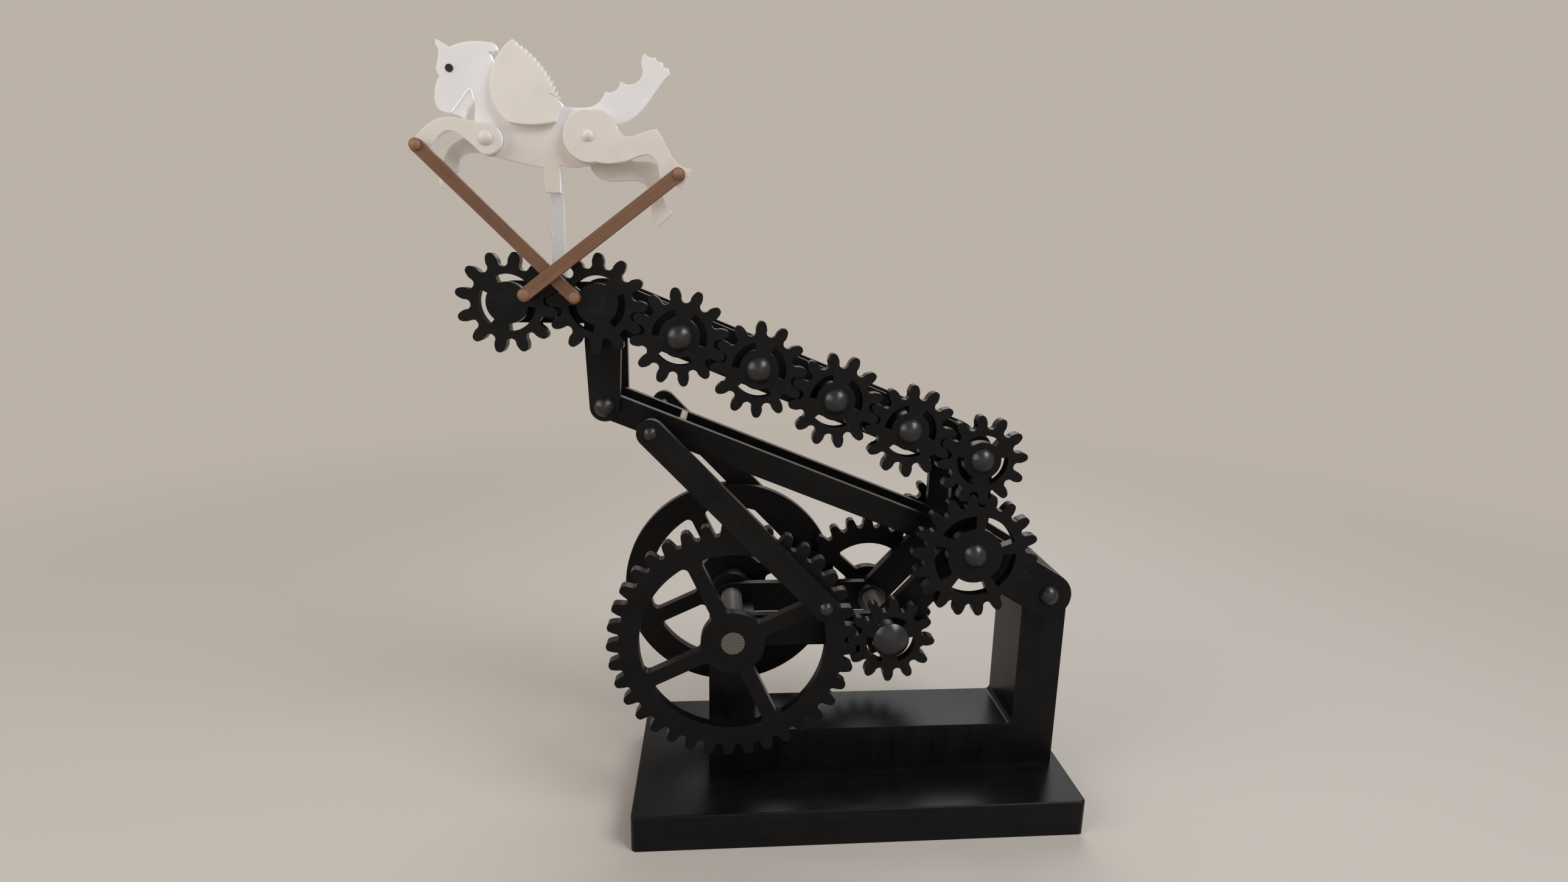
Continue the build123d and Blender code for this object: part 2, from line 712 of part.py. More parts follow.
with BuildPart() as front_leg_near:
    with BuildSketch(front(y_leg, horse_axis)):
        with BuildLine():
            ThreePointArc((-31.1, 16.1), (-21.8, 22.7), (-30.8, 29.4))
            Spline((-30.8, 29.4), (-38.6, 30.7), (-48.5, 30.6), (-57.8, 24.3), (-63.9, 16.5))
            Line((-63.9, 16.5), (-55.6, 14.1))
            Spline((-55.6, 14.1), (-51.9, 20.0), (-45.4, 25.4), (-38.3, 22.4), (-31.1, 16.1))
        make_face()
        with Locations(shoulder):
            Circle(leg_pin_r, mode=Mode.SUBTRACT)
        with Locations(front_hoof):
            Circle(stick_pin_r, mode=Mode.SUBTRACT)
    extrude(amount=leg_thick)
keep(front_leg_near, "front_leg_near")

with BuildPart() as front_leg_far:
    with BuildSketch(front(y_horse - thin_gap - leg_thick, horse_axis)):
        with BuildLine():
            ThreePointArc((-31.1, 16.1), (-21.8, 22.7), (-32.0, 28.9))
            Spline((-32.0, 28.9), (-40.5, 23.8), (-47.6, 19.0), (-50.6, 13.5), (-53.6, 3.4))
            Line((-53.6, 3.4), (-52.5, 1.2))
            Spline((-52.5, 1.2), (-49.6, 5.4), (-44.7, 9.2), (-42.5, 15.4), (-37.6, 17.4), (-31.1, 16.1))
        make_face()
        with Locations(shoulder):
            Circle(leg_pin_r, mode=Mode.SUBTRACT)
    extrude(amount=leg_thick)
keep(front_leg_far, "front_leg_far")

with BuildPart() as hind_leg_near:
    with BuildSketch(front(y_leg, horse_axis)):
        with BuildLine():
            ThreePointArc((20.0, 13.9), (5.9, 26.4), (18.9, 36.3))
            Spline((18.9, 36.3), (28.6, 32.2), (34.0, 25.6), (41.3, 27.0), (48.6, 29.0))
            Spline((48.6, 29.0), (53.6, 20.3), (58.0, 14.2), (64.3, 12.0))
            Line((64.3, 12.0), (60.7, 2.6))
            Line((60.7, 2.6), (49.7, 7.9))
            Spline((49.7, 7.9), (49.6, 12.6), (44.6, 17.6), (36.2, 15.3), (28.0, 13.5), (20.0, 13.9))
        make_face()
        with Locations(hip):
            Circle(leg_pin_r, mode=Mode.SUBTRACT)
        with Locations(hind_hoof):
            Circle(stick_pin_r, mode=Mode.SUBTRACT)
    extrude(amount=leg_thick)
keep(hind_leg_near, "hind_leg_near")

with BuildPart() as hind_leg_far:
    with BuildSketch(front(y_horse - thin_gap - leg_thick, horse_axis)):
        with BuildLine():
            ThreePointArc((16.0, 14.4), (8.2, 29.0), (24.4, 33.1))
            Spline((24.4, 33.1), (28.6, 22.0), (36.0, 15.8), (44.8, 15.4), (48.6, 13.6))
            Spline((48.6, 13.6), (49.4, 7.0), (51.0, -1.5), (55.2, -7.5))
            Line((55.2, -7.5), (47.9, -13.9))
            Spline((47.9, -13.9), (44.9, -8.4), (44.6, -1.0), (41.6, 5.4), (30.0, 6.4), (16.0, 14.4))
        make_face()
        with Locations(hip):
            Circle(leg_pin_r, mode=Mode.SUBTRACT)
    extrude(amount=leg_thick)
keep(hind_leg_far, "hind_leg_far")

leg_back = y_horse - thin_gap - leg_thick
for name, axis, head in (("front_leg_axle", shoulder_axis, shoulder_head), ("hind_leg_axle", hip_axis, hip_head)):
    with BuildPart() as leg_axle:
        with BuildSketch(front(leg_back, axis)):
            Circle(leg_pin_r)
        extrude(amount=y_leg + leg_thick - leg_back)
        add(button(y_leg + leg_thick, axis, head, leg_head_high))
    keep(leg_axle, name)

# ---------------------------------------------------------------- sticks that work the legs
sticks = [
    ("front_stick", y_stick, front_hoof_axis, right_throw),
    ("hind_stick", y_stick_two, hind_hoof_axis, left_throw),
]
for name, depth, hoof, throw in sticks:
    with BuildPart() as stick:
        with BuildSketch(front(depth)):
            strut(hoof, throw, stick_width)
            with Locations(hoof):
                Circle(stick_pin_r + run_fit, mode=Mode.SUBTRACT)
            with Locations(throw):
                Circle(stick_pin_r, mode=Mode.SUBTRACT)
        extrude(amount=stick_thick)
    keep(stick, name)

# A hoof pin is fast in its leg, with a shoulder behind the stick and a head before it
for name, depth, hoof in (
    ("front_hoof_pin", y_stick, front_hoof_axis),
    ("hind_hoof_pin", y_stick_two, hind_hoof_axis),
):
    with BuildPart() as hoof_pin:
        with BuildSketch(front(y_leg, hoof)):
            Circle(stick_pin_r)
        extrude(amount=depth + stick_thick + thin_gap - y_leg)
        with BuildSketch(front(y_leg + leg_thick, hoof)):
            Circle(stick_head)
        extrude(amount=depth - thin_gap - y_leg - leg_thick)
        add(button(depth + stick_thick + thin_gap, hoof, stick_head, leg_head_high))
    keep(hoof_pin, name)

for name, depth, _, throw in sticks:
    with BuildPart() as throw_pin:
        with BuildSketch(front(depth, throw)):
            Circle(stick_pin_r)
        extrude(amount=stick_thick)
        add(button(depth + stick_thick, throw, stick_head, throw_head_high))
    keep(throw_pin, name.replace("stick", "throw_pin"))

# ---------------------------------------------------------------- connecting rods from crank to arm
for name, depth in (("connecting_rod_front", y_rod), ("connecting_rod_rear", -y_rear_rod - rod_thick)):
    with BuildPart() as rod:
        with BuildSketch(front(depth)):
            strut(rod_axis, throw_axis, rod_width)
            with Locations(rod_axis, throw_axis):
                Circle(rod_pin_r, mode=Mode.SUBTRACT)
        extrude(amount=rod_thick)
    keep(rod, name)

with BuildPart() as rod_pin:
    with BuildSketch(front(-y_rear_rod - rod_thick, rod_axis)):
        Circle(rod_pin_r)
    extrude(amount=y_rear_rod + y_rod + 2 * rod_thick)
    add(button(y_rod + rod_thick, rod_axis, rod_head, rod_head_high))
keep(rod_pin, "rod_pin")

with BuildPart() as rod_foot_pins:
    for depth in (y_rod, -y_rear_rod - rod_thick):
        with BuildSketch(front(depth, throw_axis)):
            Circle(rod_pin_r)
        extrude(amount=rod_thick)
    add(button(y_rod + rod_thick, throw_axis, rod_foot_head, rod_head_high))
keep(rod_foot_pins, "rod_foot_pins")
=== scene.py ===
from math import cos, pi, radians, sin

import bmesh
import bpy
from mathutils import Matrix, Vector


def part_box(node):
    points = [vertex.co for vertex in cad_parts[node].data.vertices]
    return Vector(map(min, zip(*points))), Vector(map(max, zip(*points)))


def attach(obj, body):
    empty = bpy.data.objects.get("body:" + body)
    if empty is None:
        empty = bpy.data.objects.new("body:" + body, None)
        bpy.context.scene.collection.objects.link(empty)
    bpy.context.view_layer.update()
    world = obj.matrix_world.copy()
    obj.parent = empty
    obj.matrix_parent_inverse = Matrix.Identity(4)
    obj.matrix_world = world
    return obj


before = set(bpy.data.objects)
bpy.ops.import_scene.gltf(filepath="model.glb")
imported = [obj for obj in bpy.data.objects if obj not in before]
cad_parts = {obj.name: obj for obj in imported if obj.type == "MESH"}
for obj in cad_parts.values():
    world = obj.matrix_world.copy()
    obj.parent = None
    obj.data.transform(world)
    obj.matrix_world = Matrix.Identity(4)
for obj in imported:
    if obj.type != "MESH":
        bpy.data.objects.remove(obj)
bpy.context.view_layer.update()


# ---- Base board: a thick black-painted board with the frame glued on its middle. Its paint is
# brushed along the length, a little glossier where hands and cloths have rubbed it.
def node_tree(name):
    """A new material with its shader and object coordinates, ready to be wired."""
    finish = bpy.data.materials.new(name)
    finish.use_nodes = True
    nodes, links = finish.node_tree.nodes, finish.node_tree.links
    return finish, nodes, links, nodes["Principled BSDF"]


def feed(links, slot, value):
    """Sets a socket to a plain number or colour, or wires another socket to it."""
    if isinstance(value, (int, float)):
        slot.default_value = value
    elif isinstance(value, tuple):
        slot.default_value = (*value, 1)
    else:
        links.new(value, slot)


def piece_space(nodes, links, lean=0.0, at=(0, 0, 0)):
    """Object coordinates centred on a spot of a piece and turned with its length."""
    place = nodes.new("ShaderNodeTexCoord")
    move = nodes.new("ShaderNodeMapping")
    move.vector_type = "TEXTURE"
    move.inputs["Location"].default_value = at
    move.inputs["Rotation"].default_value = (0, -radians(lean), 0)
    links.new(place.outputs["Object"], move.inputs["Vector"])
    return move.outputs["Vector"]


def stretched(nodes, links, vector, scale):
    """A vector with its own scale on each axis, so that a pattern runs out into streaks."""
    stretch = nodes.new("ShaderNodeMapping")
    stretch.inputs["Scale"].default_value = scale
    links.new(vector, stretch.inputs["Vector"])
    return stretch.outputs["Vector"]


def noise(nodes, links, vector, scale, detail=4.0, roughness=0.55):
    """One noise pattern on a vector."""
    pattern = nodes.new("ShaderNodeTexNoise")
    pattern.inputs["Scale"].default_value = scale
    pattern.inputs["Detail"].default_value = detail
    pattern.inputs["Roughness"].default_value = roughness
    links.new(vector, pattern.inputs["Vector"])
    return pattern.outputs["Fac"]


def ramp(nodes, links, value, stops):
    """A colour ramp whose stops are (position, colour)."""
    band = nodes.new("ShaderNodeValToRGB")
    while len(band.color_ramp.elements) < len(stops):
        band.color_ramp.elements.new(0.5)
    for element, (position, colour) in zip(band.color_ramp.elements, stops):
        element.position = position
        element.color = (*colour, 1)
    links.new(value, band.inputs["Fac"])
    return band.outputs["Color"]


def spread(nodes, links, value, low, high):
    """A value from 0 to 1 spread over another range."""
    reach = nodes.new("ShaderNodeMapRange")
    reach.inputs["To Min"].default_value = low
    reach.inputs["To Max"].default_value = high
    links.new(value, reach.inputs["Value"])
    return reach.outputs["Result"]


def relief(nodes, links, shader, height, strength, distance, edge=0.0005):
    """Bump on a face whose sharp edges are eased by a hair's breadth."""
    eased = nodes.new("ShaderNodeBevel")
    eased.samples = 4
    eased.inputs["Radius"].default_value = edge
    bump = nodes.new("ShaderNodeBump")
    bump.inputs["Strength"].default_value = strength
    bump.inputs["Distance"].default_value = distance
    links.new(eased.outputs["Normal"], bump.inputs["Normal"])
    links.new(height, bump.inputs["Height"])
    links.new(bump.outputs["Normal"], shader.inputs["Normal"])


def reckon(nodes, links, operation, *values):
    """A math node on sockets or plain numbers."""
    node = nodes.new("ShaderNodeMath")
    node.operation = operation
    for slot, value in zip(node.inputs, values):
        feed(links, slot, value)
    return node.outputs[0]


def weigh(nodes, links, first, share, second):
    """Two patterns added up, the first by its share and the second by the rest."""
    rest = reckon(nodes, links, "MULTIPLY", second, 1 - share)
    return reckon(nodes, links, "MULTIPLY_ADD", first, share, rest)


def rise_between(nodes, links, value, start, end, smooth=False):
    """0 where a value is at the start and 1 where it is at the end."""
    reach = nodes.new("ShaderNodeMapRange")
    if smooth:
        reach.interpolation_type = "SMOOTHSTEP"
    reach.inputs["From Min"].default_value = start
    reach.inputs["From Max"].default_value = end
    links.new(value, reach.inputs["Value"])
    return reach.outputs["Result"]


def sawn_edge(nodes, links):
    """1 on the edges sawn across a sheet that faces the front, 0 on its two faces."""
    facing = nodes.new("ShaderNodeSeparateXYZ")
    links.new(nodes.new("ShaderNodeNewGeometry").outputs["True Normal"], facing.inputs[0])
    flatness = reckon(nodes, links, "ABSOLUTE", facing.outputs["Y"])
    still_face, all_edge = 0.85, 0.35
    return rise_between(nodes, links, flatness, still_face, all_edge)


def blend_value(nodes, links, share, first, second):
    """A number that goes from one to another by a share."""
    mix = nodes.new("ShaderNodeMix")
    links.new(share, mix.inputs[0])
    feed(links, mix.inputs[2], first)
    feed(links, mix.inputs[3], second)
    return mix.outputs[0]


def black_paint(name, lean=0.0, at=(0, 0, 0), tone=1.0, rough=(0.40, 0.58)):
    """Brushed black paint on plywood, with the grain just telling through and smoother edges."""
    finish, nodes, links, shader = node_tree(name)
    plain = piece_space(nodes, links, lean, at)
    grain = stretched(nodes, links, plain, (12, 260, 260))
    streak = noise(nodes, links, grain, 1.0, 6.0, 0.6)
    smudge = noise(nodes, links, plain, 55, 3.0, 0.5)
    dark = tuple(tone * c for c in (0.0022, 0.0020, 0.0021))
    light = tuple(tone * c for c in (0.0066, 0.0060, 0.0061))
    paint = ramp(nodes, links, weigh(nodes, links, streak, 0.6, smudge), [(0.35, dark), (0.68, light)])
    links.new(paint, shader.inputs["Base Color"])
    face_rough, edge_rough = spread(nodes, links, smudge, *rough), 0.30
    sheen = blend_value(nodes, links, sawn_edge(nodes, links), face_rough, edge_rough)
    links.new(sheen, shader.inputs["Roughness"])
    shader.inputs["Specular IOR Level"].default_value = 0.14
    relief(nodes, links, shader, streak, 0.35, 0.00012)
    return finish


def dress(node, finish):
    """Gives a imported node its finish."""
    mesh = bpy.data.objects[node].data
    mesh.materials.clear()
    mesh.materials.append(finish)


dress("base_board", black_paint("base_paint", tone=1.15, rough=(0.30, 0.50)))

# ---- U-shaped frame: one solid black upright block, sawn out in the middle. Its right post ends
# round over the peg and its left one flat, with a saddle for the shaft. Painted like the base.
upright = 90
dress("u_frame", black_paint("frame_paint", upright, rough=(0.30, 0.48)))

# ---- Side plates: two equal plywood plates that carry the shafts, cut in one piece with an
# arm, a strut to the right post and an upright. Fixed by a domed peg through the right post.
plate_lean = 33
dress("front_side_plate", black_paint("plate_paint", plate_lean, tone=0.95))
# The rear plate's paint is darker than the front one's: painted shade.
dress("rear_side_plate", black_paint("rear_plate_paint", plate_lean, tone=0.8))


# ---- Pegs, pins and collars: short turned pieces of hard wood, dipped in gloss black. The pegs
# are pressed through the plates or the bars, and the collars keep the countershaft in place.
def gloss_black(name, at=(0, 0, 0), rough=0.26):
    """Turned black wood or plastic, dipped in gloss paint."""
    finish, nodes, links, shader = node_tree(name)
    ripple = noise(nodes, links, piece_space(nodes, links, at=at), 190, 2.0, 0.5)
    dark, light = (0.006, 0.006, 0.0065), (0.014, 0.0135, 0.014)
    links.new(ramp(nodes, links, ripple, [(0.3, dark), (0.75, light)]), shader.inputs["Base Color"])
    links.new(spread(nodes, links, ripple, rough, rough + 0.14), shader.inputs["Roughness"])
    relief(nodes, links, shader, ripple, 0.2, 0.0001, 0.0003)
    return finish


for peg in ("strut_peg", "top_axle", "drive_axle", "link_pin", "rod_pin", "rod_foot_pins",
            "counter_collars"):
    dress(peg, gloss_black(peg + "_gloss"))

# ---- Domed heads: every peg and pin ends in a black head turned on a lathe, and the tool has
# left fine rings on it that catch the light as a wedge. Each is glued on the end of its dowel.
ring_spacing, ring_depth, stand_off = 0.0007, 0.00003, 0.00012
heads = bpy.data.node_groups.new("turned_head", "GeometryNodeTree")
heads.is_modifier = True
sockets = {}
for label, kind in (
    ("Geometry", "Geometry"),
    ("Radius", "Float"),
    ("Height", "Float"),
    ("Ring spacing", "Float"),
    ("Ring depth", "Float"),
    ("Stand off", "Float"),
    ("Finish", "Material"),
):
    socket = heads.interface.new_socket(label, in_out="INPUT", socket_type="NodeSocket" + kind)
    sockets[label] = socket.identifier
heads.interface.new_socket("Geometry", in_out="OUTPUT", socket_type="NodeSocketGeometry")
given = heads.nodes.new("NodeGroupInput").outputs
wires = heads.links


def figure(operation, *values):
    """A math node in the tree of the heads."""
    return reckon(heads.nodes, wires, operation, *values)


turns, rows = 64, 56
sheet = heads.nodes.new("GeometryNodeMeshGrid")
sheet.inputs["Size X"].default_value = 1
sheet.inputs["Size Y"].default_value = 1
sheet.inputs["Vertices X"].default_value = turns + 1
sheet.inputs["Vertices Y"].default_value = rows
spot = heads.nodes.new("ShaderNodeSeparateXYZ")
wires.new(heads.nodes.new("GeometryNodeInputPosition").outputs[0], spot.inputs[0])
angle = figure("MULTIPLY", figure("ADD", spot.outputs["X"], 0.5), 2 * pi)
rim = figure("ADD", given["Radius"], given["Stand off"])
reach = figure("MULTIPLY", figure("ADD", spot.outputs["Y"], 0.5), rim)
square = figure("MULTIPLY", given["Radius"], given["Radius"])
both_squares = figure("MULTIPLY_ADD", given["Height"], given["Height"], square)
ball = figure("DIVIDE", both_squares, figure("MULTIPLY", given["Height"], 2))
outer_ball = figure("ADD", ball, given["Stand off"])
drop = figure("SUBTRACT", figure("MULTIPLY", outer_ball, outer_ball), figure("MULTIPLY", reach, reach))
crown = figure("SQRT", figure("MAXIMUM", drop, 0))
dome = figure("SUBTRACT", crown, figure("SUBTRACT", ball, given["Height"]))
wave = figure("SINE", figure("MULTIPLY", figure("DIVIDE", reach, given["Ring spacing"]), 2 * pi))
lift = figure("MULTIPLY_ADD", wave, given["Ring depth"], dome)
place = heads.nodes.new("ShaderNodeCombineXYZ")
wires.new(figure("MULTIPLY", reach, figure("COSINE", angle)), place.inputs["X"])
wires.new(figure("MULTIPLY", lift, -1), place.inputs["Y"])
wires.new(figure("MULTIPLY", reach, figure("SINE", angle)), place.inputs["Z"])
bent = heads.nodes.new("GeometryNodeSetPosition")
wires.new(sheet.outputs["Mesh"], bent.inputs["Geometry"])
wires.new(place.outputs[0], bent.inputs["Position"])
closed = heads.nodes.new("GeometryNodeMergeByDistance")
closed.inputs["Distance"].default_value = 0.000001
wires.new(bent.outputs["Geometry"], closed.inputs["Geometry"])
shade = heads.nodes.new("GeometryNodeSetShadeSmooth")
wires.new(closed.outputs["Geometry"], shade.inputs["Geometry"])
seats = heads.nodes.new("GeometryNodeMeshToPoints")
wires.new(given["Geometry"], seats.inputs["Mesh"])
repeat = heads.nodes.new("GeometryNodeInstanceOnPoints")
wires.new(seats.outputs["Points"], repeat.inputs["Points"])
wires.new(shade.outputs["Geometry"], repeat.inputs["Instance"])
whole = heads.nodes.new("GeometryNodeRealizeInstances")
wires.new(repeat.outputs["Instances"], whole.inputs["Geometry"])
coat = heads.nodes.new("GeometryNodeSetMaterial")
wires.new(whole.outputs["Geometry"], coat.inputs["Geometry"])
wires.new(given["Finish"], coat.inputs["Material"])
wires.new(coat.outputs["Geometry"], heads.nodes.new("NodeGroupOutput").inputs[0])


def turned_head(name, body, centre, radius, height):
    """A ringed head over the solid one of a peg, riding on the peg's body."""
    seat = bpy.data.meshes.new(name)
    seat.from_pydata([centre], [], [])
    source = bpy.data.objects.new(name + "_seat", seat)
    bpy.context.collection.objects.link(source)
    modifier = source.modifiers.new("turned_head", "NODES")
    modifier.node_group = heads
    for label, value in (
        ("Radius", radius),
        ("Height", height),
        ("Ring spacing", ring_spacing),
        ("Ring depth", ring_depth),
        ("Stand off", stand_off),
        ("Finish", gloss_black(name + "_gloss", centre, 0.22)),
    ):
        modifier[sockets[label]] = value
    ready = source.evaluated_get(bpy.context.evaluated_depsgraph_get())
    mesh = bpy.data.meshes.new_from_object(ready)
    bpy.data.objects.remove(source)
    mesh.name = name
    shell = bmesh.new()
    shell.from_mesh(mesh)
    for face in shell.faces:
        face.smooth = True
        if face.normal.y > 0:
            face.normal_flip()
    shell.to_mesh(mesh)
    shell.free()
    piece = bpy.data.objects.new(name, mesh)
    bpy.context.collection.objects.link(piece)
    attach(piece, body)


def axis_of(node, y=0.0):
    """The middle of a piece as seen from the front, at a given depth."""
    low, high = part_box(node)
    return ((low[0] + high[0]) / 2, y, (low[2] + high[2]) / 2)


tall, short = 0.004, 0.0025
for node, body, height in (
    ("strut_peg", "stand", tall),
    ("top_axle", "stand", tall),
    ("counter_shaft", "countershaft", tall),
    ("drive_axle", "drive", tall),
    ("chain_axle_1", "chain_hub_1", tall),
    ("chain_axle_2", "chain_hub_2", tall),
    ("chain_axle_3", "chain_hub_3", tall),
    ("chain_axle_4", "chain_hub_4", tall),
    ("link_pin", "lower_arm", tall),
    ("rod_pin", "rods", short),
    ("rod_foot_pins", "rods", short),
):
    low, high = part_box(node)
    # The mesh of a round peg falls a few thousandths of a millimetre short of its radius.
    radius = round(max(high[0] - low[0], high[2] - low[2]) / 2, 5)
    turned_head(node + "_head", body, axis_of(node, low[1] + height), radius, height)

# ---- Crank gear, hand wheel and their shaft: a 37-tooth plywood gear in front and a smooth
# wheel behind, both pressed on a bare half-inch dowel whose end shows in the hub.
crank_at, crank_pin_at = axis_of("main_shaft"), axis_of("crank_pins")
wheel_lean, gear_rough = 25, (0.42, 0.62)
dress("main_gear", black_paint("crank_gear_paint", wheel_lean, crank_at, 0.9, gear_rough))
dress("hand_wheel", black_paint("hand_wheel_paint", wheel_lean, crank_at, 0.9))


def dowel_wood(name, at, pale, dark):
    """Bare dowel: straight grain along the shaft and year rings on its end."""
    finish, nodes, links, shader = node_tree(name)
    heart = (at[0] + 0.004, 0, at[2] - 0.006)
    flat = stretched(nodes, links, piece_space(nodes, links, at=heart), (1, 0.035, 1))
    rings = nodes.new("ShaderNodeTexWave")
    rings.wave_type = "RINGS"
    rings.rings_direction = "Y"
    rings.inputs["Scale"].default_value = 210
    rings.inputs["Distortion"].default_value = 2.2
    rings.inputs["Detail"].default_value = 2.0
    links.new(flat, rings.inputs["Vector"])
    fibre = noise(nodes, links, flat, 1500, 4.0, 0.6)
    both = weigh(nodes, links, rings.outputs["Fac"], 0.5, fibre)
    links.new(ramp(nodes, links, both, [(0.25, dark), (0.7, pale)]), shader.inputs["Base Color"])
    links.new(spread(nodes, links, fibre, 0.5, 0.72), shader.inputs["Roughness"])
    relief(nodes, links, shader, fibre, 0.3, 0.0001, 0.0003)
    return finish


# The bare shaft dowels are coloured far darker than fresh wood: painted shade over their ends.
shaded_dowel_pale, shaded_dowel_dark = (0.12, 0.10, 0.085), (0.055, 0.046, 0.038)
dress("main_shaft", dowel_wood("main_dowel", crank_at, shaded_dowel_pale, shaded_dowel_dark))
fresh_pale, fresh_dark = (0.45, 0.36, 0.27), (0.26, 0.19, 0.13)
dress("crank_pins", dowel_wood("crank_pin_dowel", crank_pin_at, fresh_pale, fresh_dark))

# ---- Countershaft: a bare dowel with a 12-tooth pinion before the front plate and a 25-tooth
# gear behind the rear one, both of black plywood and pressed on.
counter_at = axis_of("counter_shaft")
dress("counter_shaft", dowel_wood("counter_dowel", counter_at, shaded_dowel_pale, shaded_dowel_dark))
dress("counter_pinion", black_paint("counter_pinion_paint", 90, counter_at, rough=gear_rough))
# The gear behind the rear plate is painted darker than the pinion in front: painted shade.
dress("counter_gear", black_paint("counter_gear_paint", 48, counter_at, 0.85))

# ---- Drive axle: a domed black peg through both plates, with the 18-tooth gear in front and a
# pinion behind. Both gears are sawn from black plywood and pressed on the peg.
drive_at = axis_of("drive_axle")
dress("drive_gear", black_paint("drive_gear_paint", 14, drive_at, 0.95, gear_rough))
# The pinion behind the rear plate is painted darker than the gear in front: painted shade.
dress("drive_pinion", black_paint("drive_pinion_paint", 60, drive_at, 0.85))

# ---- Gear chain along the arm: 12-tooth pinions of black plywood, each loose on a domed peg and
# with a long boss behind it. Each was sawn out at its own angle to the grain.
chain_gears = ("top_gear", "chain_gear_1", "chain_gear_2", "chain_gear_3", "chain_gear_4",
               "right_head_gear")
for number, gear in enumerate(chain_gears):
    tone = 0.9 + 0.05 * (number % 3)
    dress(gear, black_paint(gear + "_paint", 37 * number, axis_of(gear), tone, gear_rough))
    if gear.startswith("chain_gear"):
        peg = gear.replace("gear", "axle")
        dress(peg, gloss_black(peg + "_gloss", axis_of(gear)))
left_gear_at = axis_of("left_head_gear")
dress("left_head_gear", black_paint("left_head_gear_paint", 20, left_gear_at, rough=gear_rough))
between_head_gears = (-0.15, 0, 0.29)
for peg in ("right_head_axle", "left_head_axle"):
    dress(peg, black_paint(peg + "_paint", 0, between_head_gears, 1.3, (0.4, 0.6)))

# ---- Swinging arm: two lower and two wider upper bars of black plywood, their sawn edges
# glossier than their faces, with a bare spacer between the lower pair.
arm_lean = -21.6
for bar in ("lower_bar_front", "lower_bar_rear", "upper_bar_front", "upper_bar_rear"):
    dress(bar, black_paint(bar + "_paint", arm_lean, drive_at, rough=(0.26, 0.46)))
spacer_at, spacer_pale, spacer_dark = (-0.1, 0, 0.22), (0.55, 0.42, 0.28), (0.36, 0.25, 0.15)
dress("arm_spacer", dowel_wood("spacer_wood", spacer_at, spacer_pale, spacer_dark))

# ---- Connecting rods: one on each side, from the crank pins up to a long pin through the arm.
# Narrow strips of black plywood with round ends, kept on by small domed pins.
rod_lean, rod_rough = -46, (0.34, 0.54)
for rod in ("connecting_rod_front", "connecting_rod_rear"):
    dress(rod, black_paint(rod + "_paint", rod_lean, crank_pin_at, 1.05, rod_rough))

# ---- Head links: two black plywood plates that hang on the end of the arm. They carry the two
# end gears and the clear post, and keep them level.
for link in ("head_link_front", "head_link_rear"):
    dress(link, black_paint(link + "_paint", upright, axis_of("link_pin"), rough=rod_rough))


# ---- Clear post: a square stick of clear acrylic, sawn and a little hazy, its sawn sides frosted
# and rougher, and coloured whiter as a painted highlight. It stands up from the head links and
# holds the horse under the belly.
def blend_colour(nodes, links, share, first, second):
    """A colour that goes from one to another by a share."""
    mix = nodes.new("ShaderNodeMix")
    mix.data_type = "RGBA"
    links.new(share, mix.inputs[0])
    feed(links, mix.inputs[6], first)
    feed(links, mix.inputs[7], second)
    return mix.outputs[2]


finish, nodes, links, shader = node_tree("clear_acrylic")
haze = noise(nodes, links, piece_space(nodes, links), 900, 3.0, 0.5)
sides = sawn_edge(nodes, links)
# Whiter colour on the sawn sides: painted highlight.
tint_and_side_highlight = blend_colour(nodes, links, sides, (0.80, 0.82, 0.83), (1, 1, 1))
links.new(tint_and_side_highlight, shader.inputs["Base Color"])
shader.inputs["IOR"].default_value = 1.49
shader.inputs["Transmission Weight"].default_value = 0.78
face_rough, side_rough = spread(nodes, links, haze, 0.08, 0.26), 0.62
links.new(blend_value(nodes, links, sides, face_rough, side_rough), shader.inputs["Roughness"])
relief(nodes, links, shader, haze, 0.2, 0.0001, 0.0003)
dress("clear_post", finish)


# ---- Horse: flat plates of white plastic, sawn to the outline of a galloping winged horse and
# pinned in layers. Light enters the sheet a little, so its thin legs glow; its sawn edges carry a
# painted highlight.
def white_sheet(name, tint, glow=0.25, belly_shade=None):
    """Milky white plastic with a painted highlight on its sawn edges, and painted shade that makes it
    darker and warmer towards the belly where given.
    """
    finish, nodes, links, shader = node_tree(name)
    plain = piece_space(nodes, links)
    cloud = noise(nodes, links, plain, 70, 3.0, 0.5)
    fine = noise(nodes, links, plain, 900, 3.0, 0.6)
    face = ramp(nodes, links, cloud, [(0.3, tuple(0.93 * c for c in tint)), (0.7, tint)])
    # Towards the belly the white turns darker and warmer: painted shade under the body.
    if belly_shade:
        height = nodes.new("ShaderNodeSeparateXYZ")
        links.new(plain, height.inputs[0])
        back_z, belly_z = 0.385, 0.352
        share = rise_between(nodes, links, height.outputs["Z"], back_z, belly_z, smooth=True)
        face = blend_colour(nodes, links, share, face, belly_shade)
    # The sawn edges are coloured near white: painted highlight.
    face_and_edge_highlight = blend_colour(nodes, links, sawn_edge(nodes, links), face, edge_highlight_white)
    links.new(face_and_edge_highlight, shader.inputs["Base Color"])
    links.new(spread(nodes, links, fine, 0.34, 0.52), shader.inputs["Roughness"])
    shader.inputs["Subsurface Weight"].default_value = glow
    shader.inputs["Subsurface Radius"].default_value = (0.9, 0.8, 0.7)
    shader.inputs["Subsurface Scale"].default_value = 0.003
    relief(nodes, links, shader, fine, 0.12, 0.0001, 0.0004)
    return finish


# Near white for the sawn edges and the jaw line: painted highlight.
edge_highlight_white = (0.93, 0.93, 0.95)
# The belly colour is a darker, warmer copy of the horse's white: painted shade.
horse_white, belly_shade_white = (0.73, 0.70, 0.69), (0.60, 0.53, 0.475)
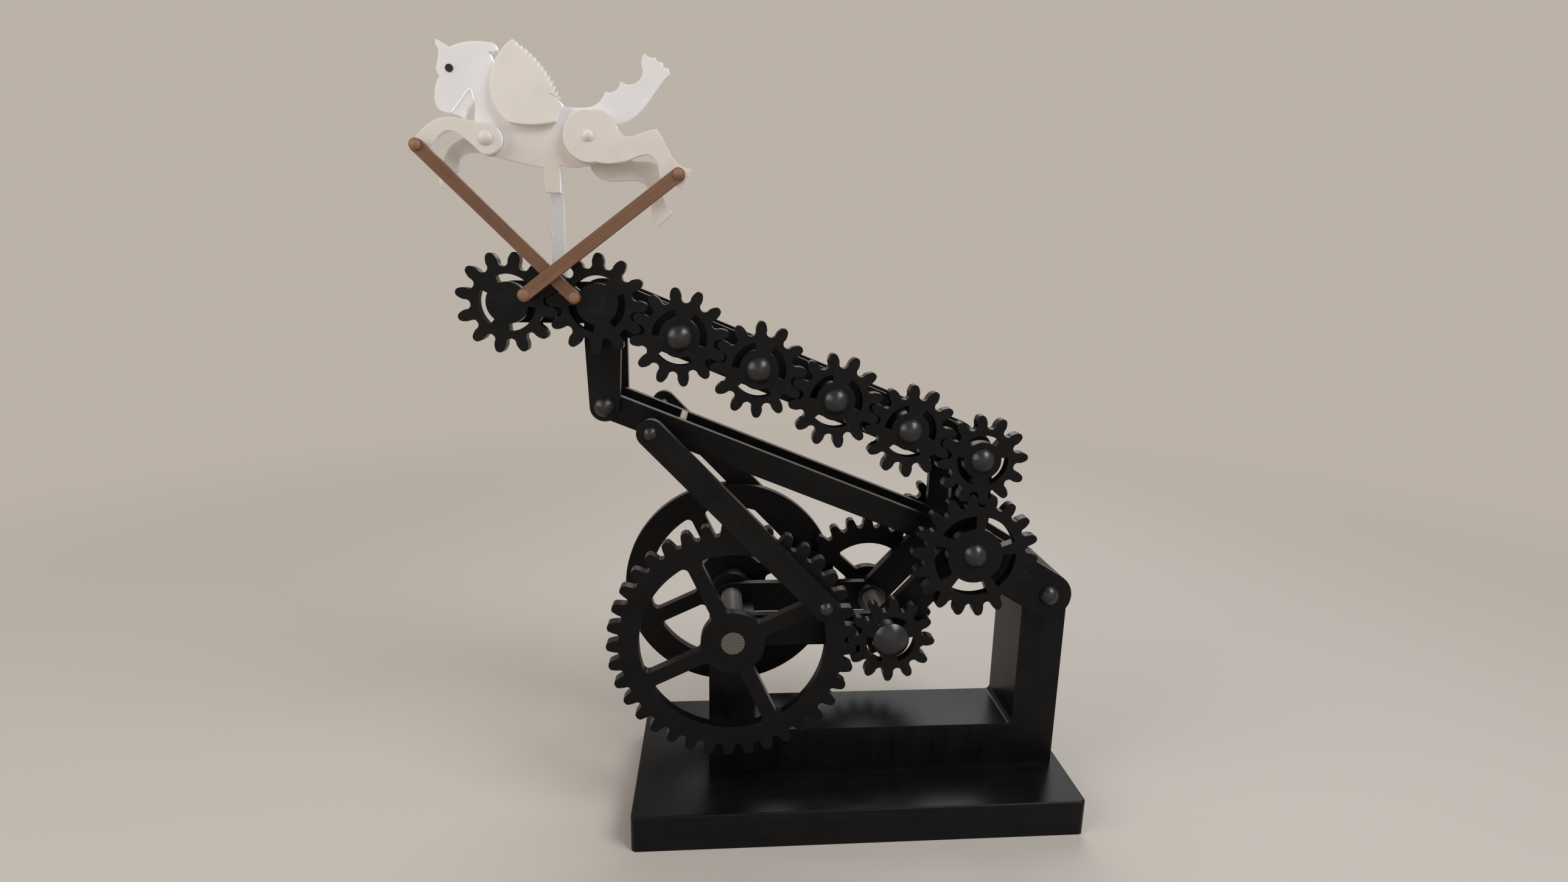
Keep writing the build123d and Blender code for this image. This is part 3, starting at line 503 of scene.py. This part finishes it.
# Wings, legs and leg axles get darker, warmer copies of the same white: painted shade.
wing_shade_white, leg_shade_white, axle_shade_white = (0.70, 0.645, 0.59), (0.67, 0.61, 0.55), (0.62, 0.56, 0.50)
dress("horse_body", white_sheet("horse_sheet", horse_white, belly_shade=belly_shade_white))
for wing in ("near_wing", "far_wing"):
    dress(wing, white_sheet(wing + "_sheet", wing_shade_white))
for leg in ("front_leg_near", "front_leg_far", "hind_leg_near", "hind_leg_far"):
    dress(leg, white_sheet(leg + "_sheet", leg_shade_white))
for axle in ("front_leg_axle", "hind_leg_axle"):
    dress(axle, white_sheet(axle + "_plastic", axle_shade_white, 0.1))
dress("eye", gloss_black("eye_gloss", axis_of("eye"), 0.08))

# ---- Jaw line: a fine bead along the sawn edge of the cheek, coloured near white as a painted
# highlight, that runs from the mouth up to the throat on both sides of the head. It is the same
# white plastic, glued on.
eye_x, _, eye_z = axis_of("eye")
head_low, head_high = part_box("horse_body")
millimetre = 0.001
from_eye = ((-0.2, -18.6), (4.4, -13.0), (8.0, -8.2), (9.4, -9.4), (10.0, -13.6))
for side, face_y in (("near", head_low[1]), ("far", head_high[1])):
    line = bpy.data.curves.new("jaw_line_" + side, "CURVE")
    line.dimensions = "3D"
    line.bevel_depth = 0.35 * millimetre
    line.bevel_resolution = 3
    line.use_fill_caps = True
    run = line.splines.new("NURBS")
    run.points.add(len(from_eye) - 1)
    for point, (across, up) in zip(run.points, from_eye):
        point.co = (eye_x + across * millimetre, face_y, eye_z + up * millimetre, 1)
    run.order_u = 3
    run.use_endpoint_u = True
    holder = bpy.data.objects.new("jaw_holder", line)
    bpy.context.collection.objects.link(holder)
    ready = holder.evaluated_get(bpy.context.evaluated_depsgraph_get())
    mesh = bpy.data.meshes.new_from_object(ready)
    bpy.data.objects.remove(holder)
    mesh.materials.clear()
    # The bead is coloured near white: painted highlight for the lit edge of the cheek.
    mesh.materials.append(white_sheet("jaw_sheet_" + side, edge_highlight_white, 0.1))
    piece = bpy.data.objects.new("jaw_line_" + side, mesh)
    bpy.context.collection.objects.link(piece)
    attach(piece, "head")


# ---- Sticks: two thin strips of bare brown wood that work the legs from pins on the head
# gears, with pale round pins glued flush in their ends.
def brown_strip(name, pale, dark, lean=0.0, at=(0, 0, 0)):
    """Fine straight-grained brown wood."""
    finish, nodes, links, shader = node_tree(name)
    plain = piece_space(nodes, links, lean, at)
    grain = stretched(nodes, links, plain, (22, 620, 620))
    streak = noise(nodes, links, grain, 1.0, 6.0, 0.62)
    cloud = noise(nodes, links, plain, 60, 2.0, 0.5)
    both = weigh(nodes, links, streak, 0.7, cloud)
    links.new(ramp(nodes, links, both, [(0.33, dark), (0.66, pale)]), shader.inputs["Base Color"])
    links.new(spread(nodes, links, streak, 0.46, 0.66), shader.inputs["Roughness"])
    relief(nodes, links, shader, streak, 0.3, 0.00012, 0.0004)
    return finish


for stick, pale, dark, lean, at in (
    ("front_stick", (0.165, 0.072, 0.034), (0.100, 0.042, 0.019), -44.5, (-0.18, 0, 0.326)),
    ("hind_stick", (0.195, 0.090, 0.044), (0.120, 0.053, 0.025), 37.5, (-0.134, 0, 0.321)),
):
    dress(stick, brown_strip(stick + "_wood", pale, dark, lean, at))
pin_pale, pin_dark = (0.26, 0.135, 0.072), (0.18, 0.088, 0.045)
for pin in ("front_hoof_pin", "hind_hoof_pin", "front_throw_pin", "hind_throw_pin"):
    dress(pin, brown_strip(pin + "_wood", pin_pale, pin_dark))

# ---- Floor: one wide plain pale sheet that the board stands on. Past the reach of the lamps it
# takes the colour of the surround, so that no edge or horizon shows.
surround = (0.50, 0.445, 0.39)
floor_reach, lit_reach, plain_reach, floor_corners = 40.0, 0.28, 1.25, 64
turn = 2 * pi / floor_corners
round_edge = [(floor_reach * cos(turn * n), floor_reach * sin(turn * n), 0) for n in range(floor_corners)]
floor_mesh = bpy.data.meshes.new("floor")
floor_mesh.from_pydata(round_edge, [], [tuple(range(floor_corners))])
floor = bpy.data.objects.new("floor", floor_mesh)
bpy.context.collection.objects.link(floor)
finish, nodes, links, shader = node_tree("floor_pale")
shader.inputs["Base Color"].default_value = (*surround, 1)
shader.inputs["Roughness"].default_value = 0.8
shader.inputs["Specular IOR Level"].default_value = 0.2
away = nodes.new("ShaderNodeVectorMath")
away.operation = "LENGTH"
links.new(piece_space(nodes, links), away.inputs[0])
far = rise_between(nodes, links, away.outputs["Value"], lit_reach, plain_reach, smooth=True)
even = nodes.new("ShaderNodeEmission")
even.inputs["Color"].default_value = (*surround, 1)
fade = nodes.new("ShaderNodeMixShader")
links.new(far, fade.inputs[0])
links.new(shader.outputs[0], fade.inputs[1])
links.new(even.outputs[0], fade.inputs[2])
links.new(fade.outputs[0], nodes["Material Output"].inputs["Surface"])
floor_mesh.materials.append(finish)

# ---- Light: a cool soft lamp above and to the right, a warmer one on the left, a low fill from
# the front and a lamp from behind. The world is dim, but looks like the floor's far end.
world = bpy.data.worlds.new("studio")
bpy.context.scene.world = world
world.use_nodes = True
nodes, links = world.node_tree.nodes, world.node_tree.links
ground = nodes["Background"]
ground.inputs["Color"].default_value = (0.96, 0.97, 1.0, 1)
ground.inputs["Strength"].default_value = 0.26
seen = nodes.new("ShaderNodeBackground")
seen.inputs["Color"].default_value = (*surround, 1)
ray = nodes.new("ShaderNodeLightPath")
straight = ray.outputs["Is Camera Ray"]
for other in ("Is Glossy Ray", "Is Transmission Ray"):
    straight = reckon(nodes, links, "MAXIMUM", straight, ray.outputs[other])
choice = nodes.new("ShaderNodeMixShader")
links.new(straight, choice.inputs[0])
links.new(ground.outputs[0], choice.inputs[1])
links.new(seen.outputs[0], choice.inputs[2])
links.new(choice.outputs[0], nodes["World Output"].inputs["Surface"])
middle = Vector((-0.04, 0, 0.2))
for name, spot, size, power, colour in (
    ("key", (0.62, -0.62, 1.15), 0.55, 11, (0.90, 0.95, 1.0)),
    ("side", (-1.0, -0.45, 0.75), 0.8, 7, (1.0, 0.97, 0.93)),
    ("fill", (0.1, -1.3, 0.35), 1.2, 2.0, (1.0, 0.98, 0.95)),
    ("back", (0.25, 0.85, 1.0), 0.8, 8, (0.92, 0.96, 1.0)),
):
    lamp = bpy.data.lights.new(name, "AREA")
    lamp.energy = power
    lamp.size = size
    lamp.color = colour
    holder = bpy.data.objects.new(name, lamp)
    holder.visible_camera = False
    holder.location = spot
    holder.rotation_euler = (middle - Vector(spot)).to_track_quat("-Z", "Y").to_euler()
    bpy.context.collection.objects.link(holder)

# ---- Camera: held close to the piece by hand, a little above the arm, with a wide lens. Its
# place, turn and lens were fitted to the outline of the real piece.
lens = bpy.data.cameras.new("camera")
lens.sensor_width = 36
lens.lens = 17.861
lens.clip_start = 0.02
lens.clip_end = 50
camera = bpy.data.objects.new("camera", lens)
eye_point = (-0.07821, -0.42366, 0.30740)
yaw, pitch, roll = 0.083, 0.216, -0.020
camera.matrix_world = (
    Matrix.Translation(eye_point)
    @ Matrix.Rotation(-yaw, 4, "Z")
    @ Matrix.Rotation(pi / 2 - pitch, 4, "X")
    @ Matrix.Rotation(-roll, 4, "Z")
)
bpy.context.collection.objects.link(camera)
bpy.context.scene.camera = camera
bpy.context.scene.view_settings.view_transform = "Standard"
